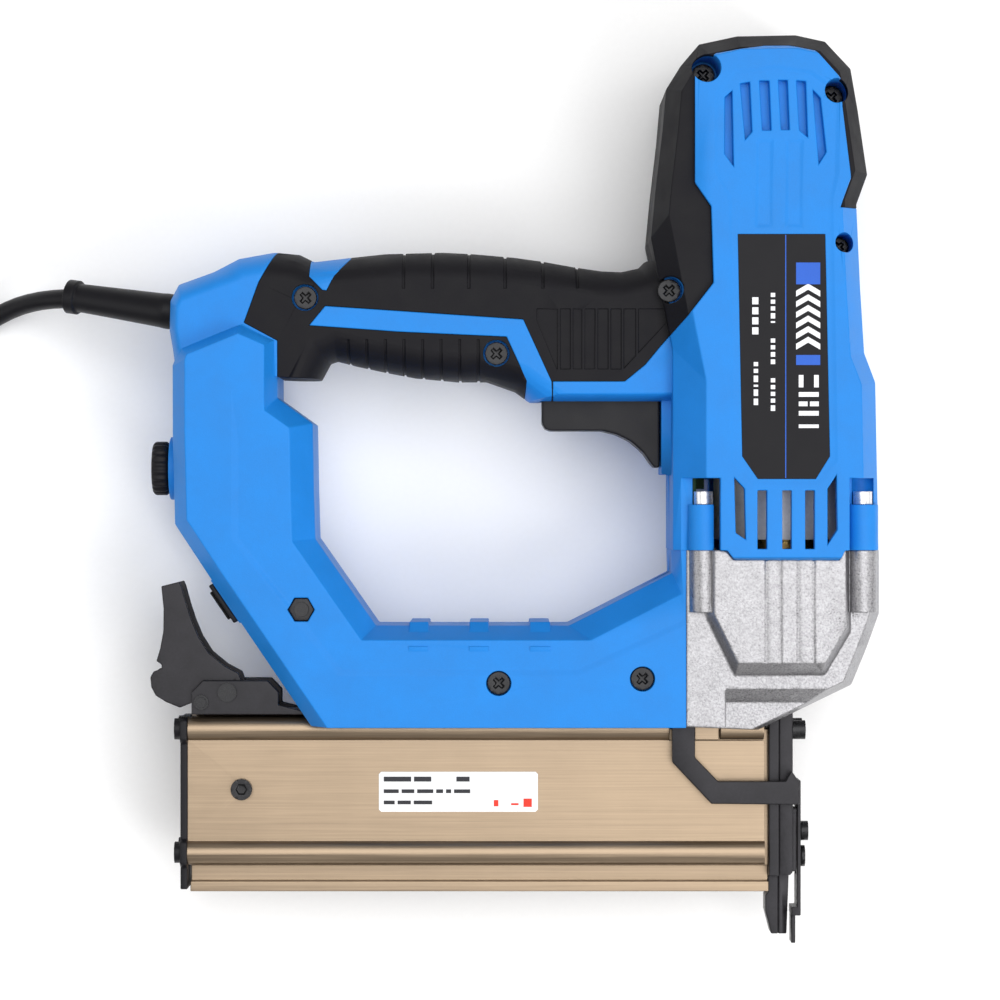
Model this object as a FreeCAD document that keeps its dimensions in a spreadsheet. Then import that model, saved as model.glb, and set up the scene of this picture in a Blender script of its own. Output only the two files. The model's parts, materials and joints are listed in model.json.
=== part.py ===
import FreeCAD, Part
import math
import os
import Sketcher
from FreeCAD import Placement, Rotation, Vector

# Mains-powered brad nailer, lying on its left side.
# X runs along the magazine, the nose fires towards -Y, Z is up from the table.
# Shapes are drawn about the tool's parting plane and lifted by halfWidth.

doc = FreeCAD.newDocument("NailGun")

sizes = {
    "halfWidth": 36.0,
    "headFace": 36.0,
    "headSkin": 34.0,
    "gripHalf": 19.5,
    "bodyHalf": 27.0,
    "skinDepth": 2.0,
    "axisPlace": 92.3,
    "plungerRadius": 11.0,
    "plungerLength": 65.0,
    "plungerFoot": 40.0,
    "guideBore": 11.08,
    "guideOuter": 12.2,
    "guideLength": 132.0,
    "bobbinOuter": 13.6,
    "flangeRadius": 20.8,
    "flangeDepth": 2.0,
    "coilRadius": 20.3,
    "coilLength": 88.0,
    "yokeRadius": 22.8,
    "yokeInner": 21.2,
    "yokePlate": 2.5,
    "stopDepth": 6.0,
    "bufferInner": 8.0,
    "bufferDepth": 13.0,
    "bladeThick": 1.1,
    "bladeWide": 3.0,
    "bladeLength": 126.0,
    "knobRadius": 9.6,
    "knobDepth": 5.7,
    "knobShaft": 3.0,
    "panScrewHead": 3.9,
    "panScrewDepth": 2.6,
    "panScrewShank": 1.9,
    "panScrewLength": 30.0,
    "capBoltHead": 3.3,
    "capBoltDepth": 4.5,
    "capBoltShank": 2.0,
    "triggerHalf": 9.0,
    "plateThick": 2.0,
    "trackHalf": 6.5,
    "panelFace": 9.5,
    "panelThick": 2.0,
    "beadRadius": 4.1,
    "capThick": 2.5,
    "cordRadius": 3.5,
    "coilMean": 38.0,
    "pinRadius": 2.4,
    "pinLength": 19.0,
    "plugLength": 38.0,
    "labelDepth": 0.4,
    "boardThick": 1.6,
    "capacitorRadius": 9.0,
    "capacitorLength": 38.0,
}

sheet = doc.addObject("Spreadsheet::Sheet", "Sizes")
for row, (name, value) in enumerate(sizes.items(), start=1):
    sheet.set("A%d" % row, name)
    sheet.set("B%d" % row, str(value))
    sheet.setAlias("B%d" % row, name)
doc.recompute()

mid = sizes["halfWidth"]
nodes = []


# ---- helpers -------------------------------------------------------------

def place(x, y, z, direction=(0, 0, 1)):
    """Placement at a point given about the parting plane, local Z along direction."""
    return Placement(Vector(x, y, z + mid), Rotation(Vector(0, 0, 1), Vector(*direction)))


def keep(part, label):
    """Name a finished sub-part and remember it for export."""
    part.Label = label
    nodes.append(part)
    return part


def bind(part, **expressions):
    """Bind properties to the size sheet."""
    for prop, expression in expressions.items():
        part.setExpression(prop, str(expression))
    return part


def rod(name, radius, length, where):
    part = doc.addObject("Part::Cylinder", name)
    bind(part, Radius=radius, Height=length)
    part.Placement = where
    return part


def block(name, low, high):
    """Box between two corners given about the parting plane."""
    part = doc.addObject("Part::Box", name)
    part.Length = high[0] - low[0]
    part.Width = high[1] - low[1]
    part.Height = high[2] - low[2]
    part.Placement = place(*low)
    return part


def less(name, base, *tools):
    """Base with one or more pieces cut away."""
    for number, tool in enumerate(tools):
        result = doc.addObject("Part::Cut", "%s%d" % (name, number))
        result.Base = base
        result.Tool = tool
        base = result
    return base


def joined(name, parts):
    result = doc.addObject("Part::MultiFuse", name)
    result.Shapes = parts
    return result


def group(name, parts):
    result = doc.addObject("Part::Compound", name)
    result.Links = parts
    return result


def outlineBody(name, points, depth, where, circles=(), chamfer=0):
    """Plate padded from a closed outline, with round holes."""
    body = doc.addObject("PartDesign::Body", name)
    plane = next(f for f in body.Origin.OriginFeatures if f.Role == "XY_Plane")
    sketch = body.newObject("Sketcher::SketchObject", name + "Outline")
    sketch.AttachmentSupport = [(plane, "")]
    sketch.MapMode = "FlatFace"
    count = len(points)
    for number in range(count):
        start = points[number]
        end = points[(number + 1) % count]
        sketch.addGeometry(Part.LineSegment(Vector(start[0], start[1], 0), Vector(end[0], end[1], 0)))
    for number in range(count):
        sketch.addConstraint(Sketcher.Constraint("Coincident", number, 2, (number + 1) % count, 1))
    for x, y, radius in circles:
        sketch.addGeometry(Part.Circle(Vector(x, y, 0), Vector(0, 0, 1), radius))
    pad = body.newObject("PartDesign::Pad", name + "Pad")
    pad.Profile = sketch
    pad.setExpression("Length", str(depth))
    body.Tip = pad
    if chamfer:
        doc.recompute()
        edges = [
            "Edge%d" % (number + 1)
            for number, edge in enumerate(pad.Shape.Edges)
            if abs(edge.BoundBox.ZMin - pad.Shape.BoundBox.ZMax) < 1e-6
        ]
        cut = body.newObject("PartDesign::Chamfer", name + "Chamfer")
        cut.Base = (pad, edges)
        cut.Size = chamfer
        body.Tip = cut
    body.Placement = where
    return body


def turnedBody(name, points, where):
    """Solid of revolution; points are (radius, height) and local Y is the axis."""
    body = doc.addObject("PartDesign::Body", name)
    plane = next(f for f in body.Origin.OriginFeatures if f.Role == "XY_Plane")
    sketch = body.newObject("Sketcher::SketchObject", name + "Profile")
    sketch.AttachmentSupport = [(plane, "")]
    sketch.MapMode = "FlatFace"
    count = len(points)
    for number in range(count):
        start = points[number]
        end = points[(number + 1) % count]
        sketch.addGeometry(Part.LineSegment(Vector(start[0], start[1], 0), Vector(end[0], end[1], 0)))
    for number in range(count):
        sketch.addConstraint(Sketcher.Constraint("Coincident", number, 2, (number + 1) % count, 1))
    spin = body.newObject("PartDesign::Revolution", name + "Turn")
    spin.Profile = sketch
    spin.ReferenceAxis = (sketch, ["V_Axis"])
    spin.Angle = 360
    body.Tip = spin
    body.Placement = where
    return body


def shaped(label, shape):
    """Sub-part whose form is worked out rather than built from primitives."""
    part = doc.addObject("Part::Feature", label)
    part.Shape = shape
    part.Placement = Placement(Vector(0, 0, mid), Rotation()).multiply(shape.Placement)
    return keep(part, label)


def inset(points, amounts):
    """Move each edge of an anticlockwise outline inwards by its own amount."""
    count = len(points)
    if not isinstance(amounts, (list, tuple)):
        amounts = [amounts] * count
    lines = []
    for number in range(count):
        ax, ay = points[number]
        bx, by = points[(number + 1) % count]
        length = math.hypot(bx - ax, by - ay)
        nx, ny = -(by - ay) / length, (bx - ax) / length
        lines.append((nx, ny, nx * ax + ny * ay + amounts[number]))
    moved = []
    for number in range(count):
        a1, b1, c1 = lines[number - 1]
        a2, b2, c2 = lines[number]
        det = a1 * b2 - a2 * b1
        if abs(det) < 1e-6:
            px, py = points[number]
            moved.append((px + a2 * amounts[number], py + b2 * amounts[number]))
        else:
            moved.append(((c1 * b2 - c2 * b1) / det, (a1 * c2 - a2 * c1) / det))
    for number in range(count):
        after = (number + 1) % count
        old = Vector(*points[after], 0) - Vector(*points[number], 0)
        new = Vector(*moved[after], 0) - Vector(*moved[number], 0)
        if old.dot(new) <= 0:
            raise ValueError("edge %d lost at %s" % (number, points[number]))
    return moved


def stack(points, levels, amounts=1.0):
    """Closed solid through outlines at several heights; each level is (z, share of the inset)."""
    count = len(points)
    if not isinstance(amounts, (list, tuple)):
        amounts = [amounts] * count
    rings = []
    for z, share in levels:
        ring = inset(points, [share * amount for amount in amounts])
        rings.append([Vector(x, y, z) for x, y in ring])
    faces = []
    for lower, upper in zip(rings, rings[1:]):
        for number in range(count):
            after = (number + 1) % count
            corners = [lower[number], lower[after], upper[after], upper[number]]
            faces.append(Part.Face(Part.makePolygon(corners + [corners[0]])))
    faces.append(Part.Face(Part.makePolygon(rings[0] + [rings[0][0]])))
    faces.append(Part.Face(Part.makePolygon(rings[-1] + [rings[-1][0]])))
    solid = Part.Solid(Part.Shell(faces))
    solid.fix(1e-6, 1e-6, 1e-6)
    return solid


def prism(points, low, high):
    return stack(points, [(low, 0), (high, 0)])


def recess(points, top, depth, slopes):
    """Shallow hollow with sloping sides, open above the top."""
    return stack(points, [(top - depth, 1), (top, 0), (top + 15, 0)], slopes)


def boxed(low, high):
    size = Vector(*high) - Vector(*low)
    return Part.makeBox(size.x, size.y, size.z, Vector(*low))


def tube(radius, length, start, direction):
    return Part.makeCylinder(radius, length, Vector(*start), Vector(*direction))


def mirrored(shape):
    return shape.mirror(Vector(0, 0, 0), Vector(0, 0, 1))


def spring(radius, wire, pitch, length, start, direction):
    """Round-wire coil spring along a direction."""
    path = Part.makeHelix(pitch, length - wire, radius)
    circle = Part.Wire(Part.makeCircle(wire / 2, Vector(radius, 0, 0), Vector(0, 1, 0)))
    coil = Part.Wire(path).makePipeShell([circle], True, True)
    coil.translate(Vector(0, 0, wire / 2))
    turn = Rotation(Vector(0, 0, 1), Vector(*direction))
    coil.Placement = Placement(Vector(*start), turn).multiply(coil.Placement)
    return coil


def cableAlong(points, radius):
    """Round cable of straight runs and tangent arcs through the given route."""
    route = [Vector(*point) for point in points]
    edges = []
    last = route[0]
    for before, corner, after in zip(route, route[1:], route[2:]):
        back = (before - corner).normalize()
        ahead = (after - corner).normalize()
        half = (math.pi - back.getAngle(ahead)) / 2
        reach = 0.45 * min(before.distanceToPoint(corner), after.distanceToPoint(corner))
        start = corner + back * reach
        end = corner + ahead * reach
        bend = reach / math.tan(half)
        centre = corner + (back + ahead).normalize() * (reach / math.sin(half))
        middle = centre + (corner - centre).normalize() * bend
        edges.append(Part.LineSegment(last, start).toShape())
        edges.append(Part.Arc(start, middle, end).toShape())
        print("cord bend radius %.1f" % bend)
        last = end
    edges.append(Part.LineSegment(last, route[-1]).toShape())
    path = Part.Wire(edges)
    heading = (route[1] - route[0]).normalize()
    circle = Part.Wire(Part.makeCircle(radius, route[0], heading))
    cable = path.makePipeShell([circle], True, False)
    print("cord length %.1f, volume %.0f, expected %.0f" % (
        path.Length, cable.Volume, path.Length * math.pi * radius * radius))
    return cable


# ---- housing outlines ------------------------------------------------------

headOutline = [
    (54, -21), (72, -21), (76.5, -27), (109, -27), (112, -21), (124.6, -21), (123.5, 36.5),
    (119.7, 46.5), (118.3, 69), (117, 97.5), (120.7, 107.7), (117.5, 129.5), (115, 144),
    (106.2, 153.4), (96, 155.6), (76, 155.2), (63, 152.4), (56.7, 145), (51.7, 137),
    (50.4, 122.4), (48, 102), (46.5, 86), (54, 48),
]
headInsets = [0, 0, 3, 0, 0] + [5] * 16 + [7, 9]

handleOutline = [
    (-118, 40), (-67.6, 38), (-64.5, 43.8), (-62, 44.6), (-55, 42.8), (-45, 40.7), (-35, 38.8),
    (-20, 37.4), (-10, 37.4), (0, 33.9), (5, 30.2), (62, 30.2), (62, 79.4), (45, 79), (43, 76.9),
    (37, 75.6), (30, 75.9), (20, 77.4), (10, 79.2), (0, 80.6), (-15, 81.9), (-25, 82.4),
    (-45, 81.9), (-58, 80.5), (-70, 79.1), (-75, 81.6), (-83.7, 82.4), (-96, 80.2),
    (-105, 75.5), (-116.9, 71.2), (-120, 65.3), (-120.2, 55), (-119, 48),
]
handleInsets = [0] + [9.5] * 9 + [3, 0, 0] + [9.5] * 13 + [8, 8, 7, 5, 4, 4, 4]

bodyOutline = [
    (-115.7, 49), (-118.2, 42.3), (-118.2, 19.7), (-117.4, -12.2), (-105.3, -30.6),
    (-70.4, -81.9), (58.5, -81.9), (58.5, -21), (53.8, -21), (54, -29), (41, -35.7),
    (25.5, -43.6), (18.5, -47.1), (-48, -47.1), (-68.9, -17.2), (-69.4, 0), (-69.8, 22.5),
    (-82, 31.3), (-82, 51.8), (-95, 57.5),
]
bodyInsets = [4, 5, 5, 5, 5, 0, 0, 0, 3, 8, 8, 8, 5, 7, 8, 8, 6, 4, 4, 4]

castingOutline = [
    (58.5, -21), (58.5, -82), (83.7, -83.1), (115.9, -67.5), (120.9, -55.4), (125.4, -42.9), (125.4, -21),
]
castingInsets = [0, 0.5, 3, 4, 4, 4, 0]

panelOutline = [(65.4, -21), (65.4, -44.1), (75.1, -63.9), (105.9, -63.8), (114.7, -49), (114.7, -21)]
panelInsets = [2.3, 2.6, 4.5, 2.6, 2.3, 0]

headCavityOutline = [
    (57.5, -40), (115.4, -40), (115.4, 78), (113, 88), (113, 128), (110, 140), (102, 148.5),
    (67, 147.5), (58.5, 140), (56, 125), (54, 104), (53, 88), (57.5, 50),
]
headCavityInsets = [0] + [6] * 12

bodyCavityOutline = [
    (-113, 44), (-113.4, -12), (-101.5, -30), (-71.5, -73.5), (54.5, -73.5), (54.5, -48),
    (28, -51.5), (-50, -51.5), (-74, -18), (-74.5, 24), (-86, 34), (-86, 50), (-95, 52),
]
bodyCavityInsets = [4] * 13

headOuter = stack(headOutline, [(-36, 1.2), (-24, 0), (24, 0), (36, 1.2)], headInsets)
headBlack = stack(headOutline, [(-34, 1), (-24, 0), (24, 0), (34, 1)], headInsets)
headCore = stack(inset(headOutline, 2), [(-32, 1), (-22, 0), (22, 0), (32, 1)], headInsets)
handleRound = [(19.5, 1), (19.2, 0.84), (18.5, 0.68), (17.2, 0.5), (15.2, 0.32), (12.2, 0.15), (8.5, 0.04), (4, 0)]


def handleStack(depth):
    """Handle section of rounded sides, drawn in from its outline by a depth."""
    share = (sizes["gripHalf"] - depth) / sizes["gripHalf"]
    upper = [(z * share, amount) for z, amount in handleRound]
    lower = [(-z, amount) for z, amount in upper]
    points = inset(handleOutline, depth) if depth else handleOutline
    return stack(points, lower + upper[::-1], handleInsets)


handleOuter = handleStack(0)
handleCore = handleStack(2)
bodyOuter = stack(bodyOutline, [(-27, 1), (-17, 0), (17, 0), (27, 1)], bodyInsets)
bumpProfile = [(-57, 25.5), (-55.5, 26.6), (-54.2, 26.9), (-45.8, 17.4), (-45.8, -17.4), (-54.2, -26.9),
               (-55.5, -26.6), (-57, -25.5)]
bumps = [Part.Face(Part.makePolygon([
    Vector(x, y, z) for y, z in bumpProfile + bumpProfile[:1]
])).extrude(Vector(width, 0, 0)) for x, width in ((-36.5, 6.6), (-15.8, 6.6), (5, 7))]

gripRegion = [
    (-82.5, 95), (-82.5, 82), (-88.5, 71), (-93.5, 57.2), (-82, 51), (-82, 31.3), (-69.5, 22.6),
    (-60, 20), (13, 20), (13, 37), (37.7, 37), (44.8, 42.8), (49.5, 48.5), (59, 59.3), (67.3, 70),
    (66.5, 96), (61, 104), (61, 140), (68, 148), (85, 150.8), (93, 150.8), (102, 149),
    (110.5, 139.5), (111, 130), (114, 105.5), (110.3, 95.5), (130, 97.5), (130, 170), (-70, 170),
]
gripStripe = [(-71, 56.3), (-40, 54.1), (-3, 52.4), (4, 37.2), (2, 20), (13, 20), (12.5, 37), (2.7, 58.4),
              (-65.5, 63)]
gripWedge = [(-71, 73.2), (-66.5, 68.5), (-65, 68.3), (-62.5, 73.3), (-57, 79.6), (-57, 95), (-70.5, 95)]

gripZone = prism(gripRegion, -60, 60)
gripZone = gripZone.cut(prism(gripStripe, -60, 60)).cut(prism(gripWedge, -60, 60))
core = headCore.fuse(handleCore)
gripShape = headBlack.fuse(handleOuter).common(gripZone).cut(core).cut(bodyOuter)
blueShape = headOuter.fuse([handleOuter, bodyOuter])
blueShape = blueShape.cut(gripZone.cut(core).cut(bodyOuter))


# ---- housing -----------------------------------------------------------------

axis = sizes["axisPlace"]
face = sizes["headFace"]

labelOutline = [(75.5, 86.5), (77, 11), (82.3, 3.3), (102, 3.3), (106.8, 11), (105.2, 86.5)]

# x, y, top of the head, recess radius, share of the full screw size
screwSpots = {
    "Grip": (-72.4, 65.9, 17.2, 4.6, 1.0),
    "Handle": (-6.5, 46.7, 16.8, 4.6, 1.0),
    "Neck": (52.8, 68.0, 23.5, 4.6, 1.0),
    "BarFront": (43.5, -65.1, 25.4, 4.3, 1.0),
    "BarMiddle": (-5.7, -66.6, 25.4, 4.3, 1.0),
    "HeadRear": (65.0, 143.0, 14.0, 4.9, 1.0),
    "HeadFront": (109.3, 135.3, 14.0, 4.2, 1.0),
    "HeadWaist": (112.0, 83.7, 14.0, 3.4, 0.8),
}
nutSpot = (-73.4, -41.4)
boltSpots = [(64.3, 27), (118.8, 27), (64.3, -27), (118.8, -27)]

rockerCentre = Vector(-99.8, -38.7, 0)
rockerAlong = Vector(0.563, -0.827, 0)
rockerOut = Vector(-0.827, -0.563, 0)
rockerTurn = Rotation(Vector(0, 0, 1), math.degrees(math.atan2(-0.827, 0.563)))
rockerTurn = rockerTurn.multiply(Rotation(Vector(1, 0, 0), 90))


def onRocker(shape):
    """Carry a shape drawn in switch coordinates (along, across, outwards) to its place."""
    shape = shape.copy()
    shape.Placement = Placement(rockerCentre, rockerTurn).multiply(shape.Placement)
    return shape


def screwHole(spot):
    x, y, top, recess, share = spot
    depth = sizes["panScrewDepth"]
    hole = tube(recess, 60, (x, y, top - depth), (0, 0, 1))
    shank = tube(sizes["panScrewShank"] * share, sizes["panScrewLength"], (x, y, top - depth), (0, 0, -1))
    return hole.fuse(shank)


def screwColumn(spot):
    x, y, top, recess, share = spot
    return tube(recess + 1.6, 72, (x, y, -36), (0, 0, 1))


headCavity = stack(headCavityOutline, [(-31, 1), (-20, 0), (20, 0), (31, 1)], headCavityInsets)
bodyCavity = stack(bodyCavityOutline, [(-24, 1), (-15, 0), (15, 0), (24, 1)], bodyCavityInsets)
handleCavity = boxed((-98, 49, -13), (60, 71, 13)).fuse(boxed((-30, 44, -13), (60, 71, 13)))
clampRoom = boxed((-109, 48.5, -11), (-97, 70, 11))
cavity = headCavity.fuse([bodyCavity, handleCavity, clampRoom])
columns = [screwColumn(spot) for spot in screwSpots.values()]
columns.append(tube(7, 72, (nutSpot[0], nutSpot[1], -36), (0, 0, 1)))
cavity = cavity.cut(columns[0].fuse(columns[1:]))

upperVents = [
    [(71.1, 133), (71, 113.8), (74.1, 109.5), (73.6, 135.2)],
    [(76.3, 137.6), (78, 118.5), (80.4, 121.2), (79.6, 138.2)],
    [(82.8, 138.6), (83.8, 121.7), (86.9, 121.7), (86.2, 138.6)],
    [(89.2, 138.8), (90.2, 121.9), (93.1, 121.9), (92.4, 138.8)],
    [(95.4, 138.7), (96.4, 121.8), (99.3, 119.3), (98.6, 138.4)],
    [(101, 135.5), (103, 110.2), (105.6, 114.3), (103.6, 132.8)],
]
lowerVents = [
    [(74.3, 3.8), (74.8, -15), (78.2, -17.3), (77.8, 0)],
    [(82.2, -0.6), (82.2, -20.5), (85.4, -20.5), (85.4, -0.6)],
    [(90.6, -0.6), (90.6, -20.5), (93.8, -20.5), (93.8, -0.6)],
    [(98.4, -0.6), (98.4, -20.5), (101.6, -20.5), (101.6, -0.6)],
    [(109, 4.5), (106, 0), (106, -19), (109.3, -14)],
]
sunkStrips = [
    [(81.2, 119), (81.2, 88.5), (87.8, 88.5), (87.8, 119)],
    [(91.4, 119), (91.4, 88.5), (98, 88.5), (98, 119)],
]
headPanel = [
    (67.6, 134.8), (67.6, 107.7), (72.5, 98.6), (73, 9.5), (80.5, 1.2), (103.5, 1.2), (109.5, 9.5), (107.9, 98),
    (110, 106.7), (110.4, 134.8), (100.5, 142.3), (88, 144), (74.5, 142.3),
]
bodyPanel = [
    (-97, 30), (-97, -17.4), (-60.5, -64), (21.8, -64), (62, -45), (62, -10), (-60, -10), (-60, 30),
]
openings = [prism(outline, face - 3.8, 50) for outline in upperVents]
openings += [prism(outline, 28, 50) for outline in lowerVents]
openings.append(recess(headPanel, face, 0.35, 1.5))
openings += [recess(outline, face - 0.35, 0.4, 1.4) for outline in sunkStrips]
openings.append(prism(labelOutline, face - 0.35 - sizes["labelDepth"], 50))
openings += [mirrored(shape) for shape in openings]

lugRoom = [boxed((50, -22, 27), (69.6, 3.6, 50)), boxed((113.5, -22, 27), (130, 3.6, 50))]
lugRoom += [mirrored(shape) for shape in lugRoom]
lugs = [tube(5.3, 15.6, (x, -21, z), (0, 1, 0)) for x, z in boltSpots]
boltHoles = [tube(sizes["capBoltShank"], 30, (x, -35.4, z), (0, 1, 0)) for x, z in boltSpots]
boltHoles += [tube(sizes["capBoltHead"] + 0.4, 9, (x, -5.4, z), (0, 1, 0)) for x, z in boltSpots]

channel = boxed((-90, -92, -13), (88.1, -78.8, 13)).fuse(boxed((-90, -92, -13), (-61, -76.4, 13)))
armSlot = boxed((53.9, -84, 12.6), (62.6, -74, 15.4)).fuse(boxed((52, -79, 10), (58.5, -45, 18)))
triggerRoom = boxed((8.8, 20, -9.4), (50.6, 45, 9.4))
guardRib = boxed((50.7, 5, -12), (56, 40, 12))
knobBoss = tube(11, 4, (-116.4, 7.2, 0), (-1, 0, 0))
knobBore = tube(sizes["knobShaft"] + 0.06, 20, (-105, 7.2, 0), (-1, 0, 0))
switchBoss = onRocker(boxed((-9, -12.5, -4), (9, 12.5, 0.8)))
switchHole = onRocker(boxed((-6.8, -9.9, -19), (6.8, 9.9, 5)))
cordHeading = Vector(-30, 4.9, 0).normalize()
cordBore = tube(3.8, 40, (-96, 58.07, 0), cordHeading)
sleeveSeat = tube(6.3, 20, (-116.6, 61.44, 0), cordHeading)
nutPocket = Part.Face(Part.makePolygon([
    Vector(nutSpot[0] + 4.7 * math.cos(math.radians(60 * k)), nutSpot[1] + 4.7 * math.sin(math.radians(60 * k)), 20)
    for k in range(7)
])).extrude(Vector(0, 0, 20))
nutHole = tube(2.5, 72, (nutSpot[0], nutSpot[1], -36), (0, 0, 1))
nutHead = tube(5, 20, (nutSpot[0], nutSpot[1], -42), (0, 0, 1))

screwHoles = [screwHole(spot) for spot in screwSpots.values()]
grooves = [boxed((x, 69, -30), (x + 1, 90, 30)) for x in (-39, -29, -16.5, -4, 9, 21)]
grooves += [boxed((x, 30, -30), (x + 0.9, 51.5, 30)) for x in (-58, -51.6, -45.2, -38.8, -32.4, -26, -19.6, -13.2)]
gripPad = prism([(7.4, 62), (7.4, 58), (14.3, 41.2), (37.2, 41.2), (56.5, 62)], -30, 30)
padRibs = [boxed((x, 30, -30), (x + 0.9, 62.2, 30)) for x in (14.6, 19, 23, 27.5, 32, 36.5, 41.5)]
gripPad = gripPad.cut(padRibs[0].fuse(padRibs[1:])).cut(headBlack)
gripTexture = grooves[0].fuse(grooves[1:] + [gripPad]).cut(handleStack(0.5))
gripShape = gripShape.cut(screwHoles[0].fuse(screwHoles[1:] + [triggerRoom, cavity, gripTexture]))
blueShape = blueShape.cut(lugRoom[0].fuse(lugRoom[1:]))
relief = recess(bodyPanel, 27, 0.5, [2, 2, 2, 2, 0, 0, 0, 14]).cut(headOuter)
blueShape = blueShape.cut(relief.fuse(mirrored(relief)))
blueShape = blueShape.fuse(lugs + bumps + [guardRib, knobBoss, switchBoss])
blueShape = blueShape.cut(cavity.fuse(openings))
blueShape = blueShape.cut(screwHoles[0].fuse(screwHoles[1:] + boltHoles))
blueShape = blueShape.cut(channel.fuse([
    armSlot, triggerRoom, knobBore, switchHole, cordBore, sleeveSeat, nutPocket, nutHole, nutHead,
]))
for side, low, high in (("right", 0, 60), ("left", -60, 0)):
    half = boxed((-400, -400, low), (400, 400, high))
    shaped("housing_" + side, blueShape.common(half))
    shaped("grip_cover_" + side, gripShape.common(half))

castingShape = stack(castingOutline, [(-27, 1), (-18, 0), (18, 0), (27, 1)], castingInsets)
panel = stack(panelOutline, [(20, 0), (27, 0), (33, 1)], panelInsets)
castingShape = castingShape.fuse([panel, mirrored(panel)])
ledge = Part.Face(Part.makePolygon([
    Vector(72, y, z) for y, z in ((-68.5, 27), (-73.3, 22.5), (-95, 22.5), (-95, 30), (-68.5, 30), (-68.5, 27))
])).extrude(Vector(60, 0, 0))
castingShape = castingShape.cut(ledge.fuse(mirrored(ledge)))
castingShape = castingShape.fuse([tube(4.8, 21.2, (x, -42.2, z), (0, 1, 0)) for x, z in boltSpots])
ribs = [Part.Face(Part.makePolygon([
    Vector(x - 1, -62, 33.02), Vector(x, -62, 32.7), Vector(x + 1, -62, 33.02), Vector(x - 1, -62, 33.02)
])).extrude(Vector(0, 45, 0)) for x in (85.6, 90.2, 96.5, 101.5)]
ribs += [mirrored(rib) for rib in ribs]
castingRooms = [
    boxed((62.5, -73, -22), (78.3, -24, 22)),
    boxed((106, -60, -20), (115, -24, 20)),
    tube(sizes["guideOuter"], 20, (axis, -31, 0), (0, 1, 0)),
    tube(sizes["plungerRadius"], 20, (axis, -45, 0), (0, 1, 0)),
    boxed((axis - 0.7, -70, -1.7), (axis + 0.7, -40, 1.7)),
    boxed((88.1, -90, -10), (96.4, -66, 10)),
]
castingShape = castingShape.cut(headOuter.fuse(headCavity))
castingShape = castingShape.cut(castingRooms[0].fuse(castingRooms[1:] + ribs + boltHoles + [channel, armSlot]))
shaped("nose_casting", castingShape)

labels = [prism(labelOutline, face - 0.35 - sizes["labelDepth"], face - 0.35)]
labels.append(mirrored(labels[0]))
shaped("rating_labels", Part.makeCompound(labels))


# ---- fasteners ---------------------------------------------------------------

def screw(name, where, share=1.0, depth="Sizes.panScrewDepth", length="Sizes.panScrewLength",
          head="Sizes.panScrewHead", shank="Sizes.panScrewShank"):
    """Round-head screw with a cross recess, head on top of local Z = 0."""
    cap = rod(name + "Head", "%s * %s" % (head, share), depth, where)
    stem = rod(name + "Shank", "%s * %s" % (shank, share), length, where.multiply(
        Placement(Vector(0, 0, 0), Rotation(Vector(1, 0, 0), 180))))
    whole = joined(name + "Screw", [cap, stem])
    doc.recompute()
    top = cap.Height.Value
    bars = []
    for turn in (0, 90):
        bar = doc.addObject("Part::Box", name + "Slot")
        bar.Length = 4.2 * share
        bar.Width = 1.1
        bar.Height = 3
        spin = Placement(Vector(0, 0, 0), Rotation(Vector(0, 0, 1), turn + 45))
        shift = Placement(Vector(-2.1 * share, -0.55, top - 1.5), Rotation())
        bar.Placement = where.multiply(spin).multiply(shift)
        bars.append(bar)
    return less(name + "Recess", whole, joined(name + "Cross", bars))


def capBolt(name, where, length):
    """Socket cap bolt, head on top of local Z = 0."""
    cap = rod(name + "Cap", "Sizes.capBoltHead", "Sizes.capBoltDepth", where)
    stem = rod(name + "Stem", "Sizes.capBoltShank", length, where.multiply(
        Placement(Vector(0, 0, 0), Rotation(Vector(1, 0, 0), 180))))
    whole = joined(name + "Bolt", [cap, stem])
    socket = doc.addObject("Part::Prism", name + "Socket")
    socket.Polygon = 6
    socket.Circumradius = 1.8
    socket.Height = 4
    socket.Placement = where.multiply(Placement(Vector(0, 0, sizes["capBoltDepth"] - 2.2), Rotation()))
    return less(name + "Hex", whole, socket)


screws = []
for name, (x, y, top, recess, share) in screwSpots.items():
    screws.append(screw(name, place(x, y, top - sizes["panScrewDepth"]), share))
keep(group("BodyScrews", screws), "body_screws")

bolts = [capBolt("Casting%d" % n, place(x, -5.4, z, (0, 1, 0)), 29.5) for n, (x, z) in enumerate(boltSpots)]
keep(group("CastingBolts", bolts), "casting_bolts")

nut = doc.addObject("Part::Prism", "Nut")
nut.Polygon = 6
nut.Circumradius = 4.6
nut.Height = 4
nut.Placement = place(nutSpot[0], nutSpot[1], 20)
keep(less("NutBored", nut, rod("NutBore", 2.5, 8, place(nutSpot[0], nutSpot[1], 18))), "body_nut")
boltHead = rod("ClampHead", 4.6, 3.5, place(nutSpot[0], nutSpot[1], -25.5))
boltStem = rod("ClampStem", 2.5, 47, place(nutSpot[0], nutSpot[1], -22))
keep(joined("ClampBolt", [boltHead, boltStem]), "body_bolt")

# ---- solenoid ------------------------------------------------------------------

def ring(name, outer, inner, start, length, step):
    """Tube about the driving axis from a height along Y."""
    direction = (0, 1, 0)
    solid = rod(name + "Outer", outer, length, place(axis, start, 0, direction))
    bore = rod(name + "Bore", inner, "%s + 2" % length, place(axis, start - 1, 0, direction))
    return less(name + step, solid, bore)


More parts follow.
